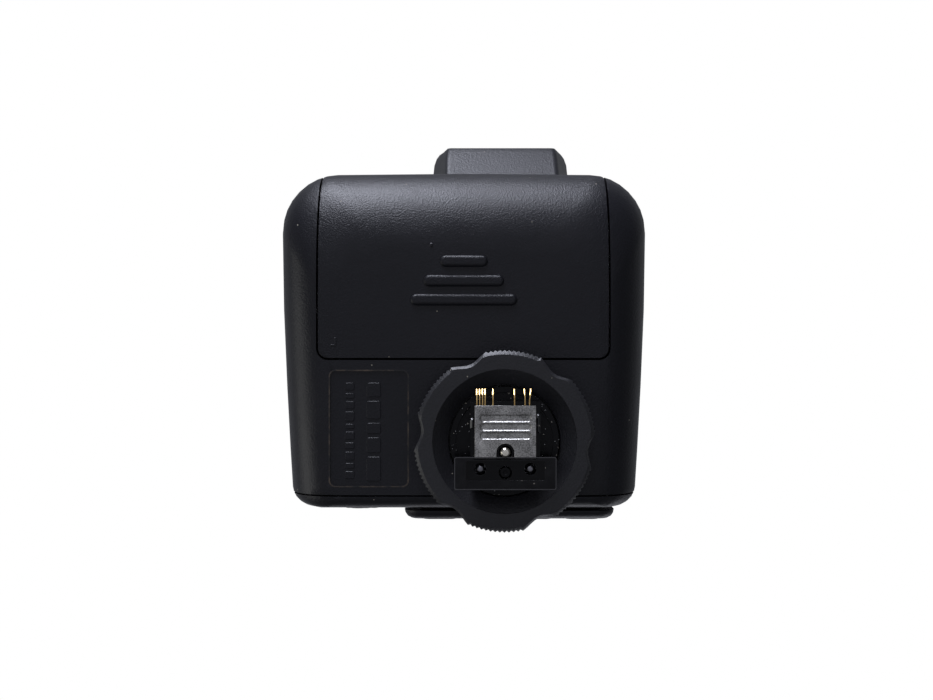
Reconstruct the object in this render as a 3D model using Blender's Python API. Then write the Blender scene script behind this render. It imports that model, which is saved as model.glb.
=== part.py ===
"""Wireless flash trigger with a two-cell battery bay, a locking shoe foot and a rear control panel.

Sizes below are in millimetres and every mesh is made in metres. +Z is up with the shoe foot at the
bottom, -Y is the side with the display, +Y is the front with the assist lamp, and the origin is the
middle of the foot's underside.
"""

import math

import bmesh
import bpy
from mathutils import Matrix, Vector

MM = 0.001

# Housing envelope
CENTRE_X = 7.5
HALF_WIDTH = 35.5
BACK_Y = -14.2
FRONT_Y = 51.2
BOTTOM_Z = 11.5
TOP_Z = 46.0
WIDEST_Y = 31.3
SIDE_ROUND = 9.5
FRONT_ACROSS = 16.0
FRONT_RISE = 13.0
REAR_ROUND = 2.5
TOP_ROUND = 3.5
FRONT_CORNER = 10.6
REAR_CORNER = 3.4
EDGE_CROWN = 0.015
WALL = 1.8
RISE_STEPS = (0.0, 0.15, 0.6, 1.4, 2.5, 3.9, 5.6, 7.6, 9.5, 11.2, 13.0)
SEAM_Y = -11.4
SEAM_GAP = 0.3

# Battery door and its sliding hinge
DOOR_LEFT = -20.1
DOOR_RIGHT = 35.3
DOOR_REAR = 14.5
DOOR_WALL = 1.7
DOOR_GAP = 0.4
DOOR_CORNER = 2.2
HINGE_Y = 49.2
HINGE_Z = 30.0
KNUCKLE_R = 2.0
DOOR_OPENING_TOP = 32.6
LUG_X = (-12.0, 27.0)
LUG_WIDTH = 4.0
GRIP_BARS = ((33.0, 9.1), (29.3, 15.3), (25.7, 20.2))
GRIP_BAR_WIDTH = 2.2
GRIP_BAR_RAISE = 0.5

# Cells
CELL_R = 7.1
CELL_LEFT = -17.6
CELL_RIGHT = 32.4
REAR_CELL = (22.6, 21.2)
FRONT_CELL = (38.0, 22.2)

# Shoe foot and lock ring
RING_Y = -0.6
RING_R = 16.8
RING_FACE_Z = 4.4
RING_BACK_Z = 8.6
RING_HOLE_R = 10.4
LOBES = 6
TEETH = 12
LOBE_TURN = math.radians(18.3)
HOLLOW_SHARE = 0.41
SCALLOP_DEPTH = 1.35
TOOTH_DEPTH = 0.32
FOOT_HALF = 9.3
NECK_HALF = 6.3
LOCK_PIN_X = 4.5
LOCK_PIN_Y = -5.25
CENTRE_PIN_Y = -2.25
FOOT_SCREW_Y = -5.9
FOOT_CONTACT_X = (5.12, 4.6, 4.08, 3.62, 2.2, -1.7, -3.64, -4.3)

# Rear controls
PANEL_LEFT = -21.6
PANEL_RIGHT = 19.0
PANEL_LOW = 14.4
PANEL_HIGH = 44.4
PANEL_Y = -16.2
WINDOW = (-18.6, 15.4, 23.4, 41.4)
KEY_X = (-15.4, -6.2, 3.0, 12.2)
KEY_Z = 19.3
KEY_SIZE = (7.2, 3.4)
DIAL_X = 28.0
DIAL_Z = 33.0
DIAL_R = 7.6
TEST_X = 28.0
TEST_Z = 20.6
LAMP_X = 34.0

# Side controls and sockets
SIDE_Y = -3.6
LEFT_WALL_X = -26.3
RIGHT_WALL_X = 41.3
POWER_Z = 36.0
AF_Z = 26.5
JACK_Z = 35.5
USB_Z = 24.5

# Top platform and shoe
NOSE_HALF = 14.4
NOSE_X = -0.4
NOSE_TIP = 59.2
NOSE_TOP = 49.8
PLATFORM_LOW = 46.3
PLATFORM_TOP = 48.2
SHOE_FLOOR = 48.5
SHOE_BACK_Y = 11.0
SHOE_FRONT_Y = 33.0
RAIL_EDGE = 0.15

COLOURS = {
    "shell_black": ((0.013, 0.013, 0.016), 0.55, 0.0),
    "foot_black": ((0.006, 0.006, 0.007), 0.28, 0.0),
    "ring_black": ((0.010, 0.010, 0.012), 0.48, 0.0),
    "rubber": ((0.020, 0.020, 0.022), 0.75, 0.0),
    "steel": ((0.42, 0.42, 0.43), 0.32, 1.0),
    "gold": ((0.80, 0.56, 0.24), 0.25, 1.0),
    "glass": ((0.02, 0.022, 0.025), 0.06, 0.0),
    "lcd": ((0.30, 0.36, 0.30), 0.35, 0.0),
    "red_lens": ((0.10, 0.004, 0.004), 0.08, 0.0),
    "lamp": ((0.75, 0.78, 0.74), 0.25, 0.0),
    "board": ((0.01, 0.10, 0.04), 0.45, 0.0),
    "cell": ((0.10, 0.22, 0.40), 0.35, 0.0),
    "spring": ((0.60, 0.60, 0.62), 0.28, 1.0),
    "brass": ((0.70, 0.52, 0.22), 0.35, 1.0),
}


def clear_scene():
    for obj in list(bpy.data.objects):
        bpy.data.objects.remove(obj)


def material(name):
    found = bpy.data.materials.get(name)
    if found:
        return found
    colour, roughness, metallic = COLOURS[name]
    made = bpy.data.materials.new(name)
    made.use_nodes = True
    shader = made.node_tree.nodes["Principled BSDF"]
    shader.inputs["Base Color"].default_value = (*colour, 1.0)
    shader.inputs["Roughness"].default_value = roughness
    shader.inputs["Metallic"].default_value = metallic
    return made


# ---------------------------------------------------------------- shapes


def finished(name, mesh, sharp_degrees=32.0):
    bmesh.ops.remove_doubles(mesh, verts=mesh.verts, dist=1e-7)
    bmesh.ops.recalc_face_normals(mesh, faces=mesh.faces)
    data = bpy.data.meshes.new(name)
    mesh.to_mesh(data)
    mesh.free()
    data.shade_smooth()
    data.set_sharp_from_angle(angle=math.radians(sharp_degrees))
    obj = bpy.data.objects.new(name, data)
    bpy.context.scene.collection.objects.link(obj)
    return obj


def loft(name, sections):
    """A closed solid through outlines that all have the same number of points, in millimetres."""
    mesh = bmesh.new()
    rings = [[mesh.verts.new(Vector(point) * MM) for point in section] for section in sections]
    count = len(rings[0])
    for low, high in zip(rings, rings[1:]):
        for i in range(count):
            j = (i + 1) % count
            mesh.faces.new((low[i], low[j], high[j], high[i]))
    mesh.faces.new(rings[0])
    mesh.faces.new(rings[-1])
    return finished(name, mesh)


def along(axis, u, v, w):
    """The point with w on the given axis and u, v on the other two, in X, Y, Z order."""
    return {"X": (w, u, v), "Y": (u, w, v), "Z": (u, v, w)}[axis]


def prism(name, outline, axis, low, high):
    return loft(name, [[along(axis, u, v, w) for u, v in outline] for w in (low, high)])


def box(name, x, y, z):
    return prism(name, ((x[0], y[0]), (x[1], y[0]), (x[1], y[1]), (x[0], y[1])), "Z", *z)


def soft_box(name, x, y, z, radius=0.4):
    """A box with rounded edges."""
    obj = box(name, x, y, z)
    edge = obj.modifiers.new("edges", "BEVEL")
    edge.width = radius * MM
    edge.segments = 2
    return obj


def rounded(u, v, radius, steps=5):
    """A rectangle from u[0], v[0] to u[1], v[1] with round corners."""
    points = []
    corners = (
        (u[1] - radius, v[1] - radius, 0.0),
        (u[0] + radius, v[1] - radius, 90.0),
        (u[0] + radius, v[0] + radius, 180.0),
        (u[1] - radius, v[0] + radius, 270.0),
    )
    for centre_u, centre_v, start in corners:
        for step in range(steps + 1):
            angle = math.radians(start + 90.0 * step / steps)
            points.append((centre_u + radius * math.cos(angle), centre_v + radius * math.sin(angle)))
    return points


def rounded_polygon(corners, reach, steps=4):
    """The polygon with each corner replaced by a curve that starts and ends at that reach from it."""
    points = []
    for i, corner in enumerate(corners):
        here = Vector(corner)
        start = here + (Vector(corners[i - 1]) - here).normalized() * reach
        end = here + (Vector(corners[(i + 1) % len(corners)]) - here).normalized() * reach
        for step in range(steps + 1):
            part = step / steps
            points.append(tuple(start.lerp(here, part).lerp(here.lerp(end, part), part)))
    return points


def lathe(name, profile, axis, centre, segments=32):
    """The closed profile of (radius, height) points turned about the axis through the centre."""
    mesh = bmesh.new()
    turned = []
    for radius, height in profile:
        if radius < 1e-6:
            turned.append([mesh.verts.new(Vector(along(axis, *centre, height)) * MM)] * segments)
            continue
        ring = []
        for i in range(segments):
            angle = 2 * math.pi * i / segments
            u = centre[0] + radius * math.cos(angle)
            v = centre[1] + radius * math.sin(angle)
            ring.append(mesh.verts.new(Vector(along(axis, u, v, height)) * MM))
        turned.append(ring)
    for first, second in zip(turned, turned[1:] + turned[:1]):
        for i in range(segments):
            j = (i + 1) % segments
            corners = list(dict.fromkeys((first[i], first[j], second[j], second[i])))
            if len(corners) > 2:
                mesh.faces.new(corners)
    return finished(name, mesh)


def rod(name, axis, centre, radius, low, high, segments=24):
    profile = ((0.0, low), (radius, low), (radius, high), (0.0, high))
    return lathe(name, profile, axis, centre, segments)


def helix(name, centre, axis, radius, wire, low, high, turns):
    """A coil spring: a round wire wound about the axis, with flat ends."""
    steps = int(turns * 10)
    sections = []
    for i in range(steps + 1):
        angle = 2 * math.pi * turns * i / steps
        height = low + (high - low) * i / steps
        section = []
        for side in range(6):
            around = math.pi * side / 3
            reach = radius + wire * math.cos(around)
            u = centre[0] + reach * math.cos(angle)
            v = centre[1] + reach * math.sin(angle)
            section.append(along(axis, u, v, height + wire * math.sin(around)))
        sections.append(section)
    return loft(name, sections)


def boolean(target, tools, operation):
    for tool in tools:
        tool.hide_render = True
        tool.display_type = "WIRE"
        step = target.modifiers.new(tool.name, "BOOLEAN")
        step.operation = operation
        step.object = tool
    return target


def cut(target, *tools):
    return boolean(target, tools, "DIFFERENCE")


def join(target, *tools):
    return boolean(target, tools, "UNION")


def keep_inside(target, tool):
    return boolean(target, (tool,), "INTERSECT")


def dress(obj, name, pivot=None):
    """Gives the object its material and, on a moving piece, its origin on the joint's axis."""
    obj.data.materials.clear()
    obj.data.materials.append(material(name))
    if pivot:
        place = Vector(pivot) * MM
        obj.data.transform(Matrix.Translation(-place))
        obj.location = place
    return obj


# ---------------------------------------------------------------- housing


def rounding(depth, across, rise):
    """How far a quarter ellipse stands in from its wall, at a depth above its foot."""
    left = max(1.0 - depth / rise, 0.0)
    return across * (1.0 - math.sqrt(1.0 - left * left))


def taper(y):
    behind = max(WIDEST_Y - y, 0.0)
    return 0.03 * behind + 0.0004 * behind * behind


def outline(z, wall):
    """The housing's outline at height z, drawn in by a wall."""
    depth = max(z - wall - BOTTOM_Z, 0.0)
    above = max(TOP_Z - wall - z, 0.0)
    top = rounding(above, TOP_ROUND, TOP_ROUND) + 0.02 * max(z - BOTTOM_Z - FRONT_RISE, 0.0) + wall
    half = HALF_WIDTH - rounding(depth, SIDE_ROUND, SIDE_ROUND) - top
    front = FRONT_Y - rounding(depth, FRONT_ACROSS, FRONT_RISE) - top
    back = BACK_Y + rounding(depth, REAR_ROUND, REAR_ROUND) + top
    front_r = max(FRONT_CORNER - wall, 3.0)
    rear_r = max(REAR_CORNER - wall, 2.0)
    points = []
    for step in range(9):
        angle = math.radians(90.0 * step / 8)
        across = half - front_r + front_r * math.cos(angle)
        points.append((across, front - front_r + front_r * math.sin(angle)))
    points.append((0.0, front))
    points += [(-x, y) for x, y in reversed(points[:9])]
    for part in (0.3, 0.6, 0.85):
        points.append((-half, front - front_r + (back + rear_r - front + front_r) * part))
    rear = []
    for step in range(6):
        angle = math.radians(180.0 + 90.0 * step / 5)
        rear.append((-half + rear_r + rear_r * math.cos(angle), back + rear_r + rear_r * math.sin(angle)))
    points += rear + [(-x, y) for x, y in reversed(rear)]
    for part in (0.85, 0.6, 0.3):
        points.append((half, front - front_r + (back + rear_r - front + front_r) * part))
    middle = (FRONT_Y + BACK_Y) / 2
    bent = []
    for x, y in points:
        crown = 1.0 - EDGE_CROWN * (x / HALF_WIDTH) ** 2
        bent.append((CENTRE_X + x * (1.0 - taper(y) / HALF_WIDTH), middle + (y - middle) * crown, z))
    return bent


def envelope(name, wall=0.0):
    """The outer shape of the closed housing, or the hollow inside a wall of that thickness."""
    low = BOTTOM_Z + wall
    high = TOP_Z - wall
    heights = [low + step for step in RISE_STEPS]
    heights += [high - TOP_ROUND * (1.0 - math.sin(math.radians(angle))) for angle in (0, 25, 48, 70)]
    return loft(name, [outline(z, wall) for z in heights + [high]])


def main_housing():
    shell = envelope("main_housing")
    cut(shell, box("behind_seam", (-60, 80), (-40, SEAM_Y + SEAM_GAP / 2), (0, 60)))
    cut(shell, envelope("housing_hollow", WALL))
    half_gap = DOOR_GAP / 2
    across = (DOOR_LEFT - half_gap, DOOR_RIGHT + half_gap)
    opening = rounded(across, (DOOR_REAR - half_gap, 90.0), DOOR_CORNER)
    cut(shell, prism("door_opening", opening, "Z", 0.0, DOOR_OPENING_TOP))
    recess = rounded((18.15, 32.8), (-9.5, 12.2), 1.0)
    cut(shell, prism("label_recess", recess, "Z", 5.0, BOTTOM_Z + 0.25))
    cut(shell, rod("stem_hole", "Z", (0.0, RING_Y), 7.9, 5.0, 20.0, 32))
    for number, (x, z, width) in enumerate(((LEFT_WALL_X, POWER_Z, 8.4), (LEFT_WALL_X, AF_Z, 7.4))):
        slot = rounded((SIDE_Y - 1.7, SIDE_Y + 1.7), (z - width / 2, z + width / 2), 0.6, 2)
        cut(shell, prism(f"switch_slot_{number}", slot, "X", x - 6, x + 6))
    cut(shell, rod("jack_hole", "X", (SIDE_Y, JACK_Z), 3.3, 35.0, 48.0))
    usb = rounded((SIDE_Y - 1.9, SIDE_Y + 1.9), (USB_Z - 4.8, USB_Z + 4.8), 1.8)
    cut(shell, prism("usb_hole", usb, "X", 35.0, 48.0))
    for number, x in enumerate((-4.6, 4.6)):
        cut(shell, rod(f"shoe_screw_hole_{number}", "Z", (x, 17.0), 1.1, 40.0, 50.0, 12))
    return dress(shell, "shell_black")


def rear_cover():
    cover = envelope("rear_cover")
    cut(cover, box("ahead_of_seam", (-60, 80), (SEAM_Y - SEAM_GAP / 2, 90), (0, 60)))
    cut(cover, envelope("cover_hollow", WALL))
    left, right, low, high = WINDOW
    cut(cover, box("display_hole", (left, right), (-20, 0), (low, high)))
    for number, x in enumerate(KEY_X):
        hole = rounded((x - KEY_SIZE[0] / 2 - 0.3, x + KEY_SIZE[0] / 2 + 0.3), key_height(0.3), 1.9)
        cut(cover, prism(f"cover_key_hole_{number}", hole, "Y", -20, 0))
    cut(cover, rod("dial_hub_hole", "Y", (DIAL_X, DIAL_Z), 4.6, -20, 0))
    cut(cover, rod("test_hole", "Y", (TEST_X, TEST_Z), 2.9, -20, 0))
    cut(cover, rod("lamp_hole", "Y", (LAMP_X, TEST_Z), 1.2, -20, 0, 12))
    return dress(cover, "shell_black")


def nose_outline(y, low, half_low, half_top):
    """The lamp head's outline at one Y: a flat sloping face below and flanks that lean outwards."""
    corners = ((-half_low, low), (half_low, low), (half_top, NOSE_TOP), (-half_top, NOSE_TOP))
    return [(NOSE_X + x, y, z) for x, z in rounded_polygon(corners, 0.9)]


def nose_block():
    """The front lamp head, which narrows forward over a sloping lower face."""
    sections = (
        (51.6, 33.6, 11.7, 14.9),
        (54.0, 36.2, 11.65, 14.85),
        (56.5, 38.9, 11.6, 14.6),
        (57.9, 40.5, 11.5, 14.1),
        (58.7, 41.4, 11.4, 13.5),
        (NOSE_TIP, 42.2, 11.3, 12.7),
    )
    return loft("nose_block", [nose_outline(*section) for section in sections])


def top_cover():
    plate = rounded((-NOSE_HALF, NOSE_HALF), (-5.0, 55.0), 3.0)
    cover = prism("top_cover", plate, "Z", PLATFORM_LOW, PLATFORM_TOP)
    bridge = prism("nose_bridge", rounded((-12.5, 12.5), (50.0, 56.0), 1.0), "Z", 46.4, 49.6)
    join(cover, nose_block(), bridge)
    cut(cover, box("lens_seat", (NOSE_X - 10.2, NOSE_X + 10.2), (57.7, 62.0), (42.7, 48.0)))
    for number, x in enumerate((-4.6, 4.6)):
        cut(cover, rod(f"platform_screw_hole_{number}", "Z", (x, 17.0), 1.1, 40.0, 50.0, 12))
    return dress(cover, "shell_black")


def af_lens():
    outline_points = rounded((NOSE_X - 9.9, NOSE_X + 9.9), (43.0, 47.7), 0.8, 3)
    return dress(prism("af_lens", outline_points, "Y", 58.0, NOSE_TIP + 0.1), "red_lens")


# ---------------------------------------------------------------- battery bay


def door_footprint(name, high):
    half_gap = DOOR_GAP / 2
    across = (DOOR_LEFT + half_gap, DOOR_RIGHT - half_gap)
    area = rounded(across, (DOOR_REAR + half_gap, 90.0), DOOR_CORNER - DOOR_GAP)
    return prism(name, area, "Z", 0.0, high)


def battery_door():
    door = door_footprint("battery_door", HINGE_Z)
    keep_inside(door, envelope("door_outside"))
    cut(door, envelope("door_hollow", DOOR_WALL))
    left = DOOR_LEFT + 0.35
    right = DOOR_RIGHT - 0.35
    join(door, rod("door_knuckle", "X", (HINGE_Y, HINGE_Z), KNUCKLE_R, left, right))
    keep_inside(door, envelope("knuckle_trim"))
    cut(door, rod("door_pin_hole", "X", (HINGE_Y, HINGE_Z), 1.05, -16.5, 31.5, 16))
    for number, x in enumerate(LUG_X):
        reach = LUG_WIDTH / 2 + 0.4
        cut(door, box(f"lug_notch_{number}", (x - reach, x + reach), (44, 60), (27.6, 34)))
    for number, (y, length) in enumerate(GRIP_BARS):
        join(door, grip_bar(f"grip_bar_{number}", y, length))
    return dress(door, "shell_black", (CENTRE_X, HINGE_Y, HINGE_Z))


def grip_bar(name, y, length):
    """A raised bar with round ends and softened edges on the door's underside."""
    sections = []
    for rise, pull in ((-0.6, 0.0), (0.05, 0.0), (0.3, 0.14), (0.44, 0.35), (GRIP_BAR_RAISE, 0.6)):
        z = BOTTOM_Z - rise
        reach = length / 2 - pull
        across = GRIP_BAR_WIDTH / 2 - pull
        ends = rounded((CENTRE_X - reach, CENTRE_X + reach), (y - across, y + across), across - 0.01, 4)
        sections.append([(u, v, z) for u, v in ends])
    return loft(name, sections)


def door_hinge_pin():
    return dress(rod("door_hinge_pin", "X", (HINGE_Y, HINGE_Z), 0.75, -15.6, 30.6, 16), "steel")


def door_slide_bracket():
    """The sheet that slides on the battery tray and carries the hinge pin in two eyes."""
    sheet = box("door_slide_bracket", (-14.0, 29.0), (34.0, 44.6), (31.4, 32.2))
    for number, x in enumerate(LUG_X):
        span = (x - LUG_WIDTH / 2, x + LUG_WIDTH / 2)
        join(sheet, box(f"lug_arm_{number}", span, (44.0, HINGE_Y), (31.0, 31.7)))
        join(sheet, rod(f"lug_eye_{number}", "X", (HINGE_Y, HINGE_Z), 1.7, *span))
    cut(sheet, rod("bracket_pin_hole", "X", (HINGE_Y, HINGE_Z), 0.95, -20.0, 40.0, 16))
    return dress(sheet, "steel")


def battery_tray():
    tray = box("battery_tray", (-22.4, 37.6), (12.9, 46.6), (13.7, 31.0))
    cut(tray, box("cell_space", (-21.2, 36.4), (14.2, 60.0), (0.0, 29.9)))
    keep_inside(tray, envelope("tray_limit", WALL + 0.4))
    return dress(tray, "shell_black")


def cell(name, place, button_right):
    """An AA cell along X with its raised button at one end."""
    body = 48.8
    start, end = (CELL_LEFT, CELL_RIGHT) if button_right else (CELL_RIGHT, CELL_LEFT)
    way = 1 if button_right else -1
    profile = (
        (0.0, start),
        (CELL_R - 0.4, start),
        (CELL_R, start + 0.4 * way),
        (CELL_R, start + (body - 0.5) * way),
        (CELL_R - 0.5, start + body * way),
        (2.75, start + body * way),
        (2.6, end),
        (0.0, end),
    )
    return dress(lathe(name, profile, "X", place, 28), "cell")


def battery_contacts():
    """A bridging plate at one end and a plus and a minus plate at the other."""
    bridge = box("battery_bridge_plate", (-20.9, -20.5), (16.5, 41.8), (18.2, 27.0))
    join(bridge, spring_cone("bridge_spring", REAR_CELL, -20.7, CELL_LEFT - 0.3))
    join(bridge, rod("bridge_bump", "X", FRONT_CELL, 2.6, -20.7, CELL_LEFT - 0.3))
    minus = box("battery_minus_plate", (35.5, 35.9), (32.0, 41.8), (18.2, 27.0))
    join(minus, spring_cone("minus_spring", FRONT_CELL, 35.7, CELL_RIGHT + 0.3))
    plus = box("battery_plus_plate", (35.5, 35.9), (17.5, 27.5), (17.0, 26.5))
    join(plus, rod("plus_bump", "X", REAR_CELL, 2.6, CELL_RIGHT + 0.3, 35.7))
    for plate in (bridge, minus, plus):
        dress(plate, "spring")


def spring_cone(name, place, plate_x, tip_x):
    return helix(name, place, "X", 3.0, 0.4, plate_x, tip_x + (0.4 if tip_x < plate_x else -0.4), 2.5)


# ---------------------------------------------------------------- foot and lock ring


def ring_radius(turn, tooth):
    """The lock ring's radius: knurled lobes with smooth hollows between."""
    phase = (turn * LOBES / (2 * math.pi)) % 1.0
    if phase < 1.0 - HOLLOW_SHARE:
        return RING_R - tooth * TOOTH_DEPTH
    across = (phase - 1.0 + HOLLOW_SHARE) / HOLLOW_SHARE
    return RING_R - SCALLOP_DEPTH * math.sin(math.pi * across) ** 1.2


def ring_outline(z, pull, toothed):
    points = []
    knurled = 1.0 - HOLLOW_SHARE
    for lobe in range(LOBES):
        steps = [(i / (2 * TEETH) * knurled, i % 2) for i in range(2 * TEETH + 1)]
        steps += [(knurled + HOLLOW_SHARE * i / 8, 0) for i in range(1, 8)]
        for part, odd in steps:
            turn = (lobe + part) / LOBES * 2 * math.pi
            radius = ring_radius(turn, odd if toothed else 1.0) - pull
            angle = turn + LOBE_TURN
            points.append((radius * math.cos(angle), RING_Y + radius * math.sin(angle), z))
    return points


def lock_ring():
    ring = loft(
        "lock_ring",
        [
            ring_outline(RING_FACE_Z, 0.5, False),
            ring_outline(RING_FACE_Z + 0.55, 0.0, True),
            ring_outline(RING_BACK_Z - 0.5, 0.0, True),
            ring_outline(RING_BACK_Z, 0.4, False),
        ],
    )
    cone = (
        (0.0, 3.0),
        (13.3, 3.0),
        (13.3, RING_FACE_Z + 0.35),
        (RING_HOLE_R, 6.3),
        (RING_HOLE_R, 10.0),
        (0.0, 10.0),
    )
    cut(ring, lathe("ring_bore", cone, "Z", (0.0, RING_Y), 48))
    return dress(ring, "ring_black", (0.0, RING_Y, 0.0))


def foot_base():
    """The threaded stem that the lock ring turns on, under a flange that meets the housing."""
    profile = (
        (0.0, 5.7),
        (8.6, 5.7),
        (8.6, 5.95),
        (9.0, 5.95),
        (9.0, 5.7),
        (10.05, 5.7),
        (10.05, 9.0),
        (13.2, 9.0),
        (13.2, 11.2),
        (7.5, 11.2),
        (7.5, 13.2),
        (0.0, 13.2),
    )
    base = lathe("foot_base", profile, "Z", (0.0, RING_Y), 48)
    cut(base, box("yoke_pocket", (-6.4, 6.4), (-7.1, -3.6), (7.0, 20.0)))
    cut(base, rod("pin_spring_hole", "Z", (0.0, CENTRE_PIN_Y + 0.2), 1.0, 4.0, 9.6, 16))
    cut(base, rod("base_screw_hole", "Z", (0.0, FOOT_SCREW_Y), 0.8, 4.0, 8.0, 12))
    for number, x in enumerate((-LOCK_PIN_X, LOCK_PIN_X)):
        cut(base, rod(f"base_lock_hole_{number}", "Z", (x, LOCK_PIN_Y), 1.1, 4.0, 8.0, 16))
    return dress(base, "foot_black")


def shoe_foot():
    """The wide bar that slides under the camera's rails, and the neck that carries it."""
    foot = soft_box("shoe_foot", (-FOOT_HALF, FOOT_HALF), (-9.1, -3.1), (0.0, 2.0), 0.35)
    join(foot, box("neck", (-NECK_HALF, NECK_HALF), (-8.6, 6.9), (0.9, 5.4)))
    cut(foot, box("contact_recess", (-5.75, 5.75), (1.6, 8.0), (0.0, 1.9)))
    cut(foot, box("plate_seat", (-5.75, 5.75), (-3.55, 2.0), (-1.0, 0.89)))
    panel = rounded((-7.1, 7.1), (-7.3, -3.75), 0.3, 2)
    cut(foot, prism("foot_panel", panel, "Z", -1.0, 0.25))
    cut(foot, rod("centre_pin_hole", "Z", (0.0, CENTRE_PIN_Y), 1.25, -1.0, 7.0, 16))
    for number, x in enumerate((-LOCK_PIN_X, LOCK_PIN_X)):
        cut(foot, rod(f"foot_lock_hole_{number}", "Z", (x, LOCK_PIN_Y), 1.1, -1.0, 7.0, 16))
    cut(foot, rod("foot_screw_hole", "Z", (0.0, FOOT_SCREW_Y), 1.2, -1.0, 7.0, 16))
    return dress(foot, "foot_black")


def foot_ground_plate():
    plate = box("foot_ground_plate", (-5.52, 5.52), (-3.3, 6.18), (0.0, 0.6))
    cut(plate, rod("plate_notch", "Z", (0.0, CENTRE_PIN_Y), 1.6, -1.0, 2.0, 20))
    cut(plate, box("plate_notch_mouth", (-1.6, 1.6), (-5.0, CENTRE_PIN_Y), (-1.0, 2.0)))
    return dress(plate, "steel")


def foot_pins():
    tip = ((0.0, -0.5), (0.6, -0.45), (0.95, 0.0), (0.95, 4.6), (0.0, 4.6))
    dress(lathe("foot_centre_pin", tip, "Z", (0.0, CENTRE_PIN_Y), 20), "gold", (0.0, CENTRE_PIN_Y, 0.0))
    spring = helix("foot_pin_spring", (0.0, CENTRE_PIN_Y + 0.2), "Z", 0.62, 0.16, 5.1, 9.2, 4)
    dress(spring, "spring")
    for number, x in enumerate(FOOT_CONTACT_X):
        span = (x - 0.17, x + 0.17)
        contact = box(f"foot_contact_{number + 1}", span, (2.2, 9.1), (1.0, 1.35))
        dress(contact, "gold")
    for name, x in (("lock_pin_left", -LOCK_PIN_X), ("lock_pin_right", LOCK_PIN_X)):
        profile = ((0.0, 0.25), (0.45, 0.3), (0.8, 0.8), (0.8, 8.0), (0.0, 8.0))
        dress(lathe(name, profile, "Z", (x, LOCK_PIN_Y), 16), "steel", (x, LOCK_PIN_Y, 0.0))
    yoke = box("lock_pin_yoke", (-6.0, 6.0), (-6.8, -3.9), (8.3, 9.5))
    dress(yoke, "steel", (0.0, LOCK_PIN_Y, 8.3))
    head = (
        (0.0, 0.75),
        (0.35, 0.75),
        (0.35, 0.5),
        (0.95, 0.5),
        (0.95, 1.5),
        (0.6, 1.8),
        (0.6, 6.4),
        (0.0, 6.4),
    )
    dress(lathe("foot_screw", head, "Z", (0.0, FOOT_SCREW_Y), 12), "foot_black")


# ---------------------------------------------------------------- rear controls


def key_height(gap):
    return KEY_Z - KEY_SIZE[1] / 2 - gap, KEY_Z + KEY_SIZE[1] / 2 + gap


def control_panel():
    steps = ((-14.5, 0.0), (-15.2, 0.15), (-15.8, 0.55), (PANEL_Y, 1.3))
    sections = []
    for y, pull in steps:
        across = (PANEL_LEFT + pull, PANEL_RIGHT - pull)
        corners = rounded(across, (PANEL_LOW + pull, PANEL_HIGH - pull), 3.5 - pull)
        sections.append([(u, y, v) for u, v in corners])
    panel = loft("control_panel", sections)
    left, right, low, high = WINDOW
    cut(panel, prism("window_hole", rounded((left, right), (low, high), 1.0, 3), "Y", -20, -10))
    for number, x in enumerate(KEY_X):
        hole = rounded((x - KEY_SIZE[0] / 2 - 0.25, x + KEY_SIZE[0] / 2 + 0.25), key_height(0.25), 1.9)
        cut(panel, prism(f"panel_key_hole_{number}", hole, "Y", -20, -10))
    return dress(panel, "shell_black")


def display():
    left, right, low, high = WINDOW
    area = rounded((left + 0.25, right - 0.25), (low + 0.25, high - 0.25), 0.8, 3)
    dress(prism("display_window", area, "Y", -16.05, -15.0), "glass")
    dress(box("lcd_module", (left + 0.4, right - 0.4), (-14.6, -10.4), (low + 0.4, high - 0.4)), "lcd")


def keys():
    for name, x in zip(("key_group", "key_channel", "key_mode", "key_menu"), KEY_X):
        spans = (x - KEY_SIZE[0] / 2, x + KEY_SIZE[0] / 2), key_height(0.0)
        cap = rounded(*spans, KEY_SIZE[1] / 2 - 0.01)
        inner = rounded((spans[0][0] + 0.3, spans[0][1] - 0.3), (spans[1][0] + 0.3, spans[1][1] - 0.3), 1.39)
        levels = ((cap, -11.3), (cap, -16.3), (inner, -16.6))
        key = loft(name, [[(u, y, v) for u, v in shape] for shape, y in levels])
        join(key, box(f"{name}_flange", (x - 4.1, x + 4.1), (-11.5, -11.0), (17.2, 21.4)))
        join(key, box(f"{name}_post", (x - 1.0, x + 1.0), (-12.2, -10.75), (18.3, 20.3)))
        dress(key, "rubber", (x, -16.6, KEY_Z))


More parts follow.
